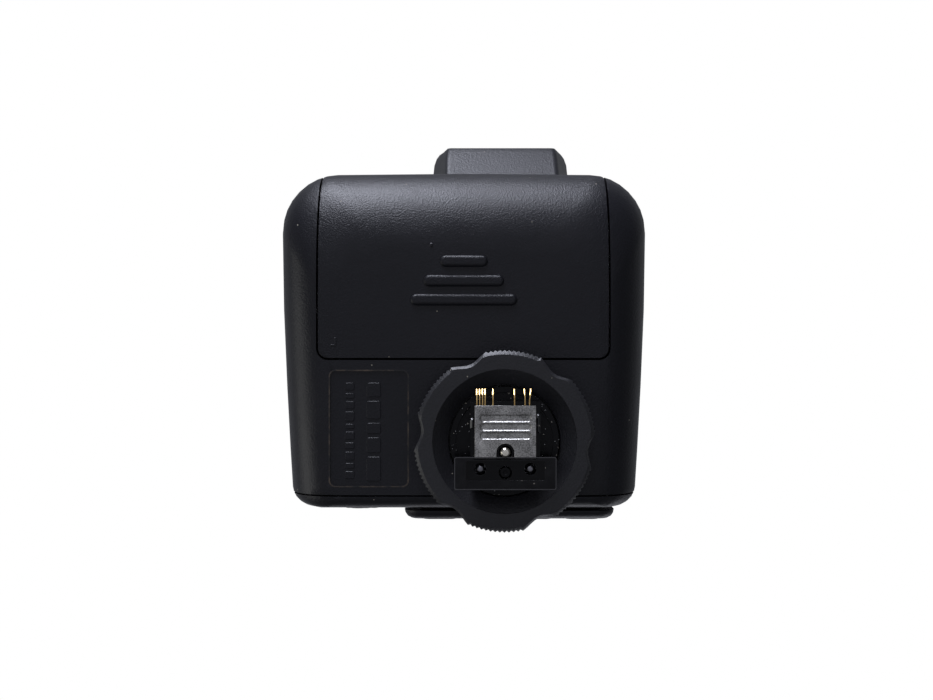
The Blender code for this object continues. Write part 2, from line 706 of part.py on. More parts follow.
def dial_and_buttons():
    grip = []
    count = 72
    for y, pull in ((-14.5, 0.0), (-15.1, 0.0), (-15.5, 0.45)):
        ring = []
        for i in range(count):
            angle = 2 * math.pi * i / count
            radius = DIAL_R - pull - (0.35 if i % 3 == 0 else 0.0)
            ring.append((DIAL_X + radius * math.cos(angle), y, DIAL_Z + radius * math.sin(angle)))
        grip.append(ring)
    dial = loft("select_dial", grip)
    join(dial, rod("dial_hub", "Y", (DIAL_X, DIAL_Z), 4.2, -14.9, -10.2))
    cut(dial, rod("dial_bore", "Y", (DIAL_X, DIAL_Z), 3.3, -20.0, 0.0))
    dress(dial, "rubber", (DIAL_X, -14.5, DIAL_Z))
    face = ((0.0, -15.8), (2.4, -15.8), (3.0, -15.3), (3.0, -11.4), (0.0, -11.4))
    dress(lathe("set_button", face, "Y", (DIAL_X, DIAL_Z)), "shell_black", (DIAL_X, -15.8, DIAL_Z))
    encoder = ((3.5, -9.9), (6.2, -9.9), (6.2, -8.7), (3.5, -8.7))
    dress(lathe("rotary_encoder", encoder, "Y", (DIAL_X, DIAL_Z)), "foot_black")
    test = ((0.0, -14.6), (2.1, -14.6), (2.6, -14.3), (2.6, -11.6), (3.4, -11.5), (3.4, -11.0), (0.0, -11.0))
    dress(lathe("test_button", test, "Y", (TEST_X, TEST_Z)), "rubber", (TEST_X, -14.6, TEST_Z))
    dress(rod("status_light_pipe", "Y", (LAMP_X, TEST_Z), 0.9, -14.25, -9.2, 12), "lamp")


def boards():
    board = box("main_pcb", (-22.5, 37.0), (-8.4, -6.9), (17.5, 42.5))
    for number, x in enumerate(KEY_X):
        join(board, box(f"tact_{number}", (x - 1.8, x + 1.8), (-10.1, -8.3), (17.5, 21.1)))
    join(board, box("tact_test", (TEST_X - 1.8, TEST_X + 1.8), (-10.3, -8.3), (TEST_Z - 1.8, TEST_Z + 1.8)))
    join(board, rod("tact_set", "Y", (DIAL_X, DIAL_Z), 2.4, -10.6, -8.3))
    dress(board, "board")
    module = soft_box("rf_module", (-8.0, 8.0), (-6.6, -3.6), (26.0, 40.0), 0.3)
    dress(module, "spring")
    dress(helix("antenna", (-4.8, 41.4), "X", 1.0, 0.3, 9.5, 22.0, 4.5), "brass")


# ---------------------------------------------------------------- side controls and sockets


def side_switches():
    for name, z in (("power_switch", POWER_Z - 2.0), ("af_switch", AF_Z - 1.5)):
        across = (SIDE_Y - 1.35, SIDE_Y + 1.35)
        knob = soft_box(name, (LEFT_WALL_X - 0.4, -22.6), across, (z - 1.7, z + 1.7), 0.3)
        join(knob, box(f"{name}_slider", (-23.9, -23.1), (SIDE_Y - 2.6, SIDE_Y + 2.6), (z - 2.6, z + 2.6)))
        dress(knob, "rubber", (LEFT_WALL_X, SIDE_Y, z))


def sockets():
    wall = RIGHT_WALL_X
    jack = box("sync_jack", (28.0, 38.6), (-6.5, -0.7), (JACK_Z - 3.2, JACK_Z + 3.2))
    join(jack, rod("jack_barrel", "X", (SIDE_Y, JACK_Z), 2.9, 38.0, wall - 0.1))
    cut(jack, rod("jack_bore", "X", (SIDE_Y, JACK_Z), 1.3, 31.0, 50.0, 20))
    dress(jack, "foot_black")
    shell = rounded((SIDE_Y - 1.5, SIDE_Y + 1.5), (USB_Z - 4.4, USB_Z + 4.4), 1.45)
    hollow = rounded((SIDE_Y - 1.2, SIDE_Y + 1.2), (USB_Z - 4.1, USB_Z + 4.1), 1.15)
    port = prism("usb_port", shell, "X", 33.6, wall - 0.3)
    cut(port, prism("usb_hollow", hollow, "X", 34.2, 50.0))
    join(port, box("usb_tongue", (34.0, 39.8), (SIDE_Y - 0.35, SIDE_Y + 0.35), (USB_Z - 3.2, USB_Z + 3.2)))
    dress(port, "steel")


# ---------------------------------------------------------------- top shoe


def top_shoe():
    rails = box("hot_shoe_rails", (-11.4, 11.4), (SHOE_BACK_Y, SHOE_FRONT_Y), (SHOE_FLOOR, 52.4))
    channel_y = (0.0, SHOE_FRONT_Y - 0.9)
    cut(rails, box("shoe_channel", (-9.4, 9.4), channel_y, (SHOE_FLOOR + 0.9, SHOE_FLOOR + 3.0)))
    cut(rails, box("shoe_mouth", (-6.4, 6.4), (0.0, SHOE_FRONT_Y - 3.5), (49.0, 60.0)))
    cut(rails, box("insulator_seat", (-7.3, 7.3), (13.2, 29.8), (40.0, 50.0)))
    edge = rails.modifiers.new("edges", "BEVEL")
    edge.width = RAIL_EDGE * MM
    edge.segments = 1
    dress(rails, "steel")
    seat = soft_box("hot_shoe_base", (-7.0, 7.0), (13.5, 29.5), (SHOE_FLOOR, 49.35), 0.15)
    cut(seat, rod("centre_contact_hole", "Z", (0.0, 22.0), 1.9, 40.0, 60.0, 20))
    for number, x in enumerate((-3.6, 3.6)):
        cut(seat, rod(f"data_contact_hole_{number}", "Z", (x, 26.4), 1.1, 40.0, 60.0, 16))
    for number, x in enumerate((-4.6, 4.6)):
        hole = ((0.0, 40.0), (1.1, 40.0), (1.1, 48.9), (1.8, 48.9), (1.8, 60.0), (0.0, 60.0))
        cut(seat, lathe(f"base_screw_hole_{number}", hole, "Z", (x, 17.0), 16))
    dress(seat, "foot_black")
    contact = ((0.0, 48.6), (1.6, 48.6), (1.6, 49.4), (1.1, 49.75), (0.0, 49.75))
    dress(lathe("shoe_centre_contact", contact, "Z", (0.0, 22.0), 20), "gold")
    for number, x in enumerate((-3.6, 3.6)):
        disc = ((0.0, 48.6), (0.85, 48.6), (0.85, 49.35), (0.5, 49.6), (0.0, 49.6))
        dress(lathe(f"shoe_data_contact_{number + 1}", disc, "Z", (x, 26.4), 16), "gold")
    for number, x in enumerate((-4.6, 4.6)):
        screw = (
            (0.0, 41.0),
            (0.8, 41.0),
            (0.8, 49.0),
            (1.5, 49.0),
            (1.5, 49.35),
            (0.6, 49.35),
            (0.3, 49.1),
            (0.0, 49.1),
        )
        dress(lathe(f"shoe_screw_{number + 1}", screw, "Z", (x, 17.0), 16), "steel")


def main():
    clear_scene()
    main_housing()
    rear_cover()
    top_cover()
    af_lens()
    battery_door()
    door_hinge_pin()
    door_slide_bracket()
    battery_tray()
    cell("cell_rear", REAR_CELL, True)
    cell("cell_front", FRONT_CELL, False)
    battery_contacts()
    lock_ring()
    foot_base()
    shoe_foot()
    foot_ground_plate()
    foot_pins()
    control_panel()
    display()
    keys()
    dial_and_buttons()
    boards()
    side_switches()
    sockets()
    top_shoe()


main()
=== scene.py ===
"""Looks of a wireless flash trigger: materials, fine pieces, light and camera round its CAD model."""

import math

import bmesh
import bpy
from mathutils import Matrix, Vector

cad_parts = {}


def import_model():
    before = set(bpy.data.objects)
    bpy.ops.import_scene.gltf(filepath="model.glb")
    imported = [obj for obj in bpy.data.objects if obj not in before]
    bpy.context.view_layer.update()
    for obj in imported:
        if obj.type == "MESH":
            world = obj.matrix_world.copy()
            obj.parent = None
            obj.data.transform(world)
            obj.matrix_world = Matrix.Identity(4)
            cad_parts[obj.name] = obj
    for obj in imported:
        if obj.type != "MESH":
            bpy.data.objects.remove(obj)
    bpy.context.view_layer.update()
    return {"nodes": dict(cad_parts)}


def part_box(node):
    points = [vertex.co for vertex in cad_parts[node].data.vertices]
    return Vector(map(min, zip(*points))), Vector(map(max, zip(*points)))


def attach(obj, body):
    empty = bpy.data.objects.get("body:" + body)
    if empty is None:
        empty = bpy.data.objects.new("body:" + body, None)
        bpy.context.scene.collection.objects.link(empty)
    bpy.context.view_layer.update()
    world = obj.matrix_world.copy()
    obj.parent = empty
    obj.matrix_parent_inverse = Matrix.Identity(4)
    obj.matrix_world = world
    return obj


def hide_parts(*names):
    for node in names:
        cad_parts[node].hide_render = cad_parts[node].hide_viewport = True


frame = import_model()

MM = 0.001

# The camera looks straight up at the underside. Places and sizes on this stage are in metres.
CAMERA_PLACE = (0.0070, 0.0162, -0.2300)
LENS_MM = 49.3
LIT_POINT = (0.0, 0.02, 0.02)
FLOOR_Z = -0.5
FLOOR_RADIUS = 0.45
# The foot's sunk panel is everything above this height; it is painted darker there as shade in the recess
SUNK_FROM = 0.0002
# Each softbox: name, place, width and height, radiance, colour
SOFTBOXES = (
    ("front_key", (0.17, 0.80, -0.07), (0.40, 0.56), 16.0, (0.93, 0.96, 1.10)),
    ("side_fill", (0.85, -0.20, -0.12), (0.60, 0.50), 1.8, (1.0, 1.0, 0.97)),
    ("rear_light", (-0.35, -0.85, 0.45), (0.90, 0.50), 1.5, (0.95, 0.97, 1.06)),
    ("top_light", (0.05, -0.75, 0.85), (0.80, 0.80), 0.45, (0.95, 0.97, 1.06)),
)
# Soft light from all round: AROUND up to the first height of SKY_RISE, ABOVE from the second
AROUND = (0.138, 0.143, 0.157, 1.0)
ABOVE = (0.27, 0.278, 0.30, 1.0)
SKY_RISE = (0.10, 0.45)

# CAD nodes that share a material
SHELL_NODES = (
    "main_housing", "rear_cover", "top_cover", "battery_tray", "control_panel", "set_button",
)
FOOT_NODES = ("foot_base", "foot_screw", "rotary_encoder", "sync_jack", "hot_shoe_base")
KEY_NODES = ("key_group", "key_channel", "key_mode", "key_menu")
RUBBER_NODES = KEY_NODES + ("select_dial", "test_button", "power_switch", "af_switch")
STEEL_NODES = (
    "door_hinge_pin", "door_slide_bracket", "lock_pin_yoke", "usb_port",
    "hot_shoe_rails", "shoe_screw_1", "shoe_screw_2",
)
GOLD_NODES = ("shoe_centre_contact", "shoe_data_contact_1", "shoe_data_contact_2")
NICKEL_NODES = (
    "battery_bridge_plate", "battery_plus_plate", "battery_minus_plate", "foot_pin_spring", "rf_module",
)

# Everything below is in millimetres.

# The foot's metal plate: its notch, and the grooves as the outline's inset at each depth
NOTCH_R = 1.6
GROOVE_ACROSS = (-4.76, 4.7)
GROOVE_TOPS = (4.62, 3.05, 1.48)
GROOVE_WIDTH = 1.46
GROOVE_PROFILE = ((0.0, 0.0), (0.04, 0.07), (0.16, 0.2), (0.2, 0.3), (0.21, 0.42))
# The sleeve in the notch, as radius and height round its section
SLEEVE_SECTION = ((1.52, 0.8), (1.52, 0.12), (1.46, 0.05), (1.24, 0.05), (1.18, 0.12), (1.18, 0.8))
# Each plate clip: name, side, and its ends along Y
CLIPS = (("plate_clip_left", 1.0, (1.9, 3.9)), ("plate_clip_right", -1.0, (1.2, 4.6)))
CLIP_REACH = (0.06, 0.85)
CLIP_HEIGHTS = (1.2, 0.25)

# A leaf contact: share of its length, rise and half width at each step
CONTACTS = 8
LEAF_PATH = (
    (0.0, 0.0, 0.10),
    (0.72, 0.0, 0.10),
    (0.80, 0.03, 0.11),
    (0.84, 0.16, 0.135),
    (0.89, 0.45, 0.145),
    (0.95, 0.85, 0.14),
    (1.0, 1.2, 0.11),
)
LEAF_HALF_THICK = 0.06
LEAN_START = 0.6
# How far a bent contact's tip leans to the side
LEANING = {7: 0.12, 8: -0.42}

# The foot's bar ends here, and its index mark is on the stem beside it
BAR_TOP = -3.1
INDEX_MARK = (9.15, 9.95), (-1.75, -1.35)

# The label's recess, and its two columns of blank pads:
# across, corner radius, gap between pads, height, and each pad's length
RECESS = (18.15, 32.8), (-9.5, 12.2)
RECESS_DEPTH = 0.25
LABEL_START = 10.0
LABEL_COLUMNS = (
    ((23.2, 25.9), 0.4, 0.75, 0.12, (2.7, 3.4, 2.0, 2.9, 4.6)),
    ((28.2, 30.0), 0.3, 0.55, 0.10, (1.4, 1.0, 1.4, 1.8, 0.9, 1.5, 1.2, 1.6, 1.0, 1.4)),
)
# The door's moulding marks: across, along, corner radius, height, softened rim
DOOR_MARKS = (
    ((31.6, 32.0), (16.9, 18.6), 0.12, 0.1, 0.05),
    ((32.0, 32.7), (16.9, 17.3), 0.12, 0.1, 0.05),
    ((13.2, 14.1), (35.6, 36.5), 0.44, 0.12, 0.2),
)

# Printed signs stand this far out of the surface they are on
PRINT_HEIGHT = 0.02
PRINT_RIM = 0.01
ROWS = 3
ROW_PITCH = 3.7
BAR_PITCH = 1.9
LEVEL_BARS = 4
LEVEL_PITCH = 1.1
ZIGZAG = ((0.35, 1.25), (-0.75, -0.15), (-0.05, -0.15), (-0.35, -1.25), (0.75, 0.15), (0.05, 0.15))

# The leaf springs under the top shoe's lips: sides, depth below the lips, bow and thickness
SHOE_SPRINGS = (("shoe_spring_left", -1.0), ("shoe_spring_right", 1.0))
SHOE_SPRING_ACROSS = (7.0, 9.1)
SHOE_SPRING_DROP = 1.42
SHOE_SPRING_BOW = 0.35
SHOE_SPRING_THICK = 0.15


# ---------------------------------------------------------------- materials


class Recipe:
    """One procedural material: its shader, and short ways to add and join nodes."""

    def __init__(self, name, colour, roughness, metallic=0.0, ior=1.45):
        self.material = bpy.data.materials.new(name)
        self.material.use_nodes = True
        self.tree = self.material.node_tree
        self.shader = self.tree.nodes["Principled BSDF"]
        self.set("Base Color", (*colour, 1.0))
        self.set("Roughness", roughness)
        self.set("Metallic", metallic)
        self.set("IOR", ior)
        self.place = self.tree.nodes.new("ShaderNodeTexCoord").outputs["Object"]

    def set(self, socket, value):
        self.shader.inputs[socket].default_value = value

    def drive(self, socket, output):
        self.tree.links.new(output, self.shader.inputs[socket])

    def node(self, kind, links=(), values=(), **settings):
        made = self.tree.nodes.new(kind)
        for key, value in settings.items():
            setattr(made, key, value)
        for key, value in dict(values).items():
            made.inputs[key].default_value = value
        for key, output in dict(links).items():
            self.tree.links.new(output, made.inputs[key])
        return made

    def stretched(self, scale):
        return self.node("ShaderNodeMapping", {"Vector": self.place}, {"Scale": scale}).outputs["Vector"]

    def noise(self, scale, detail=2.0, place=None):
        links = {"Vector": place or self.place}
        return self.node("ShaderNodeTexNoise", links, {"Scale": scale, "Detail": detail}).outputs["Fac"]

    def cells(self, scale, feature="F1", output="Distance"):
        return self.node(
            "ShaderNodeTexVoronoi", {"Vector": self.place}, {"Scale": scale}, feature=feature
        ).outputs[output]

    def ramp(self, value, low, high, first, last):
        """Grey or colour that runs from first to last as value goes from low to high."""
        made = self.node("ShaderNodeValToRGB", {"Fac": value})
        ends = made.color_ramp.elements
        ends[0].position = low
        ends[1].position = high
        ends[0].color = (*self.colour(first), 1.0)
        ends[1].color = (*self.colour(last), 1.0)
        return made.outputs["Color"]

    @staticmethod
    def colour(value):
        return (value,) * 3 if isinstance(value, (int, float)) else value

    def sum(self, operation, a, b):
        made = self.node("ShaderNodeMath", operation=operation)
        for socket, value in zip(made.inputs, (a, b)):
            if isinstance(value, (int, float)):
                socket.default_value = value
            else:
                self.tree.links.new(value, socket)
        return made.outputs["Value"]

    def blend(self, amount, a, b):
        made = self.node("ShaderNodeMix", data_type="RGBA")
        self.tree.links.new(amount, made.inputs["Factor"])
        for socket, value in ((made.inputs[6], a), (made.inputs[7], b)):
            if isinstance(value, tuple):
                socket.default_value = (*value, 1.0)
            else:
                self.tree.links.new(value, socket)
        return made.outputs[2]

    def bump(self, height, strength, depth):
        links = {"Height": height}
        values = {"Strength": strength, "Distance": depth}
        self.drive("Normal", self.node("ShaderNodeBump", links, values).outputs["Normal"])

    def specks(self, scale, size, share):
        """Sparse round specks: 1 inside a speck, 0 elsewhere. share is the part of the cells with one."""
        near = self.sum("LESS_THAN", self.cells(scale), size)
        colour = self.cells(scale, output="Color")
        pick = self.node("ShaderNodeSeparateColor", {"Color": colour}).outputs["Red"]
        return self.sum("MULTIPLY", near, self.sum("LESS_THAN", pick, share))

    def along(self, axis):
        return self.node("ShaderNodeSeparateXYZ", {"Vector": self.place}).outputs[axis]


def moulded(name, dark, light, roughness, grain, depth, ior=1.38, dust=0.25):
    """Moulded black plastic: leathery grain, faint clouding, rubbed patches and dust specks."""
    made = Recipe(name, dark, roughness, ior=ior)
    cloud = made.ramp(made.noise(38.0, 4.0), 0.3, 0.7, dark, light)
    specks = made.specks(330.0, 0.045, dust)
    made.drive("Base Color", made.blend(specks, cloud, (0.24, 0.22, 0.18)))
    wear = made.ramp(made.noise(70.0, 5.0), 0.25, 0.75, roughness - 0.05, roughness + 0.05)
    made.drive("Roughness", made.blend(specks, wear, (0.85, 0.85, 0.85)))
    leather = made.cells(grain, "SMOOTH_F1")
    fine = made.noise(grain * 1.6, 2.0)
    made.bump(made.sum("ADD", leather, fine), 1.0, depth)
    return made.material


def glossy_black(name, ior=1.25, roughness=0.22):
    """Smooth black plastic with fine scratches, haze and pale dust."""
    made = Recipe(name, (0.002, 0.002, 0.0026), roughness, ior=ior)
    dust = made.specks(760.0, 0.12, 0.8)
    lint = made.specks(1700.0, 0.14, 0.35)
    pale = made.blend(dust, (0.002, 0.002, 0.0026), (0.22, 0.20, 0.17))
    made.drive("Base Color", made.blend(lint, pale, (0.30, 0.30, 0.30)))
    haze = made.ramp(made.noise(240.0, 6.0), 0.3, 0.75, roughness - 0.06, roughness + 0.14)
    made.drive("Roughness", haze)
    scratch = made.noise(900.0, 3.0, made.stretched((0.15, 1.0, 1.0)))
    made.bump(scratch, 0.12, 0.00002)
    return made.material


def foot_plastic():
    """The foot's plastic: its outer faces rubbed paler in patches, and the sunk panel between them painted
    darker as shade in the recess.
    """
    made = Recipe("foot_rubbed_and_shaded_panel", (0.004, 0.004, 0.0048), 0.3, ior=1.28)
    sunk = made.sum("GREATER_THAN", made.along("Z"), SUNK_FROM)
    patchy_tone = made.ramp(made.noise(420.0, 5.0), 0.35, 0.75, (0.003, 0.003, 0.0038), (0.009, 0.009, 0.010))
    specks = made.specks(900.0, 0.11, 0.6)
    dusty = made.blend(specks, patchy_tone, (0.22, 0.20, 0.17))
    # Painted shade: the sunk panel gets a darker colour than the outer faces
    made.drive("Base Color", made.blend(sunk, dusty, (0.0008, 0.0008, 0.0012)))
    worn = made.ramp(made.noise(300.0, 5.0), 0.3, 0.7, 0.24, 0.40)
    made.drive("Roughness", made.blend(sunk, worn, (0.12, 0.12, 0.12)))
    made.bump(made.noise(2600.0, 3.0), 0.3, 0.00002)
    return made.material


def brushed_steel(name, dark, light, across=(0.06, 1.0, 1.0)):
    """Sheet metal brushed along X, with darker handling marks."""
    made = Recipe(name, light, 0.3, metallic=1.0)
    lines = made.noise(6000.0, 3.0, made.stretched(across))
    stain = made.noise(420.0, 5.0)
    mixed = made.sum("ADD", made.sum("MULTIPLY", lines, 0.6), made.sum("MULTIPLY", stain, 0.4))
    made.drive("Base Color", made.ramp(mixed, 0.35, 0.65, dark, light))
    made.drive("Roughness", made.ramp(lines, 0.3, 0.7, 0.32, 0.42))
    made.bump(lines, 0.06, 0.00001)
    return made.material


def blasted_plate():
    """Fine blasted nickel-plated sheet with faint blotches and rubbed spots."""
    made = Recipe("foot_plate_steel", (0.36, 0.355, 0.34), 0.34, metallic=1.0)
    grain = made.noise(3800.0, 2.0)
    blotch = made.noise(330.0, 4.0)
    mixed = made.sum("ADD", made.sum("MULTIPLY", grain, 0.55), made.sum("MULTIPLY", blotch, 0.45))
    made.drive("Base Color", made.ramp(mixed, 0.38, 0.62, (0.14, 0.138, 0.133), (0.50, 0.49, 0.47)))
    made.drive("Roughness", made.ramp(blotch, 0.3, 0.7, 0.26, 0.42))
    made.bump(grain, 1.0, 0.00003)
    return made.material


def plated(name, dark, light, roughness):
    """Thin bright plating with slight tarnish."""
    made = Recipe(name, light, roughness, metallic=1.0)
    tarnish = made.noise(900.0, 5.0)
    made.drive("Base Color", made.ramp(tarnish, 0.35, 0.7, light, dark))
    made.drive("Roughness", made.ramp(tarnish, 0.3, 0.7, roughness, roughness + 0.15))
    return made.material


def pale_patchy_edge():
    """A thin edge bead: black plastic that turns grey-brown in patches."""
    made = Recipe("pale_patchy_edge", (0.02, 0.018, 0.016), 0.5)
    # The bead is paler than the shell in random patches
    patchy_tone = made.ramp(made.noise(520.0, 5.0), 0.40, 0.68, (0.006, 0.006, 0.007), (0.075, 0.055, 0.040))
    made.drive("Base Color", patchy_tone)
    made.drive("Roughness", made.ramp(made.noise(300.0, 3.0), 0.3, 0.7, 0.45, 0.7))
    return made.material


def rubber():
    made = Recipe("soft_rubber", (0.018, 0.018, 0.020), 0.7)
    cloud = made.ramp(made.noise(120.0, 4.0), 0.3, 0.7, (0.014, 0.014, 0.016), (0.024, 0.024, 0.026))
    made.drive("Base Color", cloud)
    made.drive("Roughness", made.ramp(made.noise(300.0, 3.0), 0.3, 0.7, 0.6, 0.78))
    made.bump(made.noise(5200.0, 2.0), 0.3, 0.00002)
    return made.material


def window():
    """Tinted clear window with faint smears."""
    made = Recipe("clear_window", (0.012, 0.014, 0.016), 0.05)
    made.set("Alpha", 0.22)
    made.drive("Roughness", made.ramp(made.noise(160.0, 5.0), 0.4, 0.8, 0.03, 0.16))
    return made.material


def lcd_glass():
    made = Recipe("lcd_glass", (0.36, 0.44, 0.35), 0.4)
    tone = made.ramp(made.noise(45.0, 2.0), 0.2, 0.8, (0.32, 0.40, 0.31), (0.40, 0.48, 0.39))
    made.drive("Base Color", tone)
    made.bump(made.noise(9000.0, 1.0), 0.1, 0.00001)
    return made.material


def red_lens():
    """Deep red lens over fine upright ribs."""
    made = Recipe("assist_lens", (0.10, 0.004, 0.004), 0.08)
    made.set("Coat Weight", 1.0)
    made.set("Coat Roughness", 0.04)
    waves = {"Scale": 260.0, "Distortion": 0.0}
    ribs = made.node("ShaderNodeTexWave", {"Vector": made.place}, waves, bands_direction="X").outputs["Fac"]
    made.drive("Base Color", made.ramp(ribs, 0.0, 1.0, (0.05, 0.002, 0.002), (0.16, 0.008, 0.006)))
    made.bump(ribs, 0.5, 0.00015)
    return made.material


def frosted_lamp():
    made = Recipe("frosted_lamp", (0.62, 0.65, 0.62), 0.35)
    made.set("Transmission Weight", 0.4)
    haze = made.ramp(made.noise(1500.0, 3.0), 0.3, 0.7, (0.52, 0.56, 0.53), (0.72, 0.75, 0.72))
    made.drive("Base Color", haze)
    return made.material


def board_green():
    """Solder mask with the faint relief of its copper tracks."""
    made = Recipe("board_green", (0.01, 0.09, 0.04), 0.4)
    bricks = {"Scale": 260.0, "Mortar Size": 0.03}
    tracks = made.node("ShaderNodeTexBrick", {"Vector": made.place}, bricks).outputs["Fac"]
    made.drive("Base Color", made.ramp(tracks, 0.0, 1.0, (0.008, 0.075, 0.03), (0.02, 0.16, 0.06)))
    made.bump(tracks, 0.4, 0.00004)
    return made.material


def cell_sleeve(name, plus_right):
    """Printed foil sleeve: a copper band at the plus end and a dark body."""
    lo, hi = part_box("cell_front")
    made = Recipe(name, (0.02, 0.05, 0.12), 0.28, metallic=0.6)
    part = made.sum("DIVIDE", made.sum("SUBTRACT", made.along("X"), lo.x), hi.x - lo.x)
    edge = (0.70, 0.71) if plus_right else (0.29, 0.30)
    ends = ((0.015, 0.03, 0.07), (0.55, 0.26, 0.09))
    first, last = ends if plus_right else ends[::-1]
    band = made.ramp(part, *edge, first, last)
    patchy_tone = made.ramp(made.noise(260.0, 5.0), 0.45, 0.8, 0.0, 0.25)
    made.drive("Base Color", made.blend(patchy_tone, band, (0.35, 0.35, 0.35)))
    made.drive("Roughness", made.ramp(made.noise(180.0, 4.0), 0.3, 0.7, 0.2, 0.36))
    return made.material


def print_ink(name, colour):
    """Pad-printed ink, thin enough that the grain under it shows."""
    made = Recipe(name, colour, 0.6)
    thin = tuple(part * 0.75 for part in colour)
    made.drive("Base Color", made.ramp(made.noise(2600.0, 4.0), 0.35, 0.6, thin, colour))
    return made.material


# ---------------------------------------------------------------- shapes


def piece(name, mesh, material, body, edge=0.0):
    """Turns a bmesh in millimetres into a piece that rides on a body."""
    bmesh.ops.scale(mesh, vec=(MM, MM, MM), verts=mesh.verts)
    bmesh.ops.recalc_face_normals(mesh, faces=mesh.faces)
    data = bpy.data.meshes.new(name)
    mesh.to_mesh(data)
    mesh.free()
    data.shade_smooth()
    data.set_sharp_from_angle(angle=math.radians(35.0))
    data.materials.append(material)
    obj = bpy.data.objects.new(name, data)
    bpy.context.scene.collection.objects.link(obj)
    if edge:
        round_edges(obj, edge)
    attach(obj, body)
    return obj


def round_edges(obj, width_mm):
    """Small round edges that catch the light, with flat faces that stay flat."""
    weld = obj.modifiers.new("weld", "WELD")
    weld.merge_threshold = 0.000001
    bevel = obj.modifiers.new("round_edges", "BEVEL")
    bevel.width = width_mm * MM
    bevel.segments = 2
    bevel.limit_method = "ANGLE"
    bevel.angle_limit = math.radians(32.0)
    bevel.use_clamp_overlap = True
    normals = obj.modifiers.new("flat_faces", "WEIGHTED_NORMAL")
    normals.weight = 60
    normals.keep_sharp = False


def turned(axis, u, v, w):
    """The point whose height along the axis is w."""
    return {"X": (w, u, v), "Y": (u, w, v), "Z": (u, v, w)}[axis]


def add_loft(mesh, sections):
    """Joins outlines of equal length, one after the other, and closes both ends."""
    rings = [[mesh.verts.new(point) for point in section] for section in sections]
    count = len(rings[0])
    for low, high in zip(rings, rings[1:]):
        for i in range(count):
            j = (i + 1) % count
            mesh.faces.new((low[i], low[j], high[j], high[i]))
    mesh.faces.new(rings[0])
    mesh.faces.new(rings[-1])


def rounded(u, v, radius, steps=5):
    """A rectangle from u[0], v[0] to u[1], v[1] with round corners."""
    points = []
    corners = (
        (u[1] - radius, v[1] - radius, 0.0),
        (u[0] + radius, v[1] - radius, 90.0),
        (u[0] + radius, v[0] + radius, 180.0),
        (u[1] - radius, v[0] + radius, 270.0),
    )
    for centre_u, centre_v, start in corners:
        for step in range(steps + 1):
            angle = math.radians(start + 90.0 * step / steps)
            points.append((centre_u + radius * math.cos(angle), centre_v + radius * math.sin(angle)))
    return points


def add_pad(mesh, u, v, radius, axis, base, top, soft=0.08):
    """A low raised pad with rounded corners and a softened rim, from base to top along the axis."""
    way = 1.0 if top > base else -1.0
    outer = rounded(u, v, radius)
    inner = rounded((u[0] + soft, u[1] - soft), (v[0] + soft, v[1] - soft), max(radius - soft, 0.01))
    levels = ((outer, base), (outer, top - way * soft), (inner, top))
    add_loft(mesh, [[turned(axis, a, b, w) for a, b in shape] for shape, w in levels])


def in_mm(node):
    """The CAD node's box in millimetres."""
    lo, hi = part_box(node)
    return lo / MM, hi / MM


# ---------------------------------------------------------------- CAD nodes


def dress(names, material, edge):
    """Gives CAD nodes a material and round edges of the given width in millimetres."""
    for name in names:
        obj = frame["nodes"][name]
        obj.data.materials.clear()
        obj.data.materials.append(material)
        obj.data.polygons.foreach_set("use_smooth", [True] * len(obj.data.polygons))
        round_edges(obj, edge)


def dress_cad():
    dress(SHELL_NODES, SHELL, 0.14)
    dress(("battery_door",), DOOR, 0.14)
    dress(FOOT_NODES, GLOSS, 0.1)
    dress(("lock_ring",), RING, 0.12)
    dress(("shoe_foot",), FOOT, 0.16)
    dress(("lock_pin_left", "lock_pin_right"), PIN_STEEL, 0.08)
    dress(("foot_centre_pin",), PALE_GILT, 0.1)
    dress(RUBBER_NODES, RUBBER, 0.12)
    dress(STEEL_NODES, STEEL, 0.06)
    dress(GOLD_NODES, GOLD, 0.04)
    dress(NICKEL_NODES, NICKEL, 0.04)
    dress(("display_window",), WINDOW, 0.1)
    dress(("lcd_module",), LCD, 0.1)
    dress(("af_lens",), RED, 0.12)
    dress(("status_light_pipe",), LAMP, 0.1)
    dress(("main_pcb",), BOARD, 0.05)
    dress(("antenna",), BRASS, 0.03)
    dress(("cell_rear",), cell_sleeve("cell_sleeve_rear", True), 0.2)
    dress(("cell_front",), cell_sleeve("cell_sleeve_front", False), 0.2)


# ---------------------------------------------------------------- foot details


def add_wall(mesh, rings):
    """Joins edge loops of equal length, one inside or above the other."""
    for first, second in zip(rings, rings[1:]):
        count = len(first)
        for i in range(count):
            j = (i + 1) % count
            mesh.faces.new((first[i], first[j], second[j], second[i]))


def loop_of(mesh, outline, z):
    return [mesh.verts.new((x, y, z)) for x, y in outline]


def plate_outline(lo, hi):
    """The plate's edge: square corners above and a U notch for the centre pin below."""
    pin_lo, pin_hi = in_mm("foot_centre_pin")
    notch_y = (pin_lo.y + pin_hi.y) / 2
    points = [(lo.x, hi.y), (lo.x, lo.y), (-NOTCH_R - 0.2, lo.y), (-NOTCH_R, lo.y + 0.25)]
    for step in range(17):
        angle = math.pi * (1.0 - step / 16)
        points.append((NOTCH_R * math.cos(angle), notch_y + NOTCH_R * math.sin(angle)))
    return points + [(NOTCH_R, lo.y + 0.25), (NOTCH_R + 0.2, lo.y), (hi.x, lo.y), (hi.x, hi.y)]


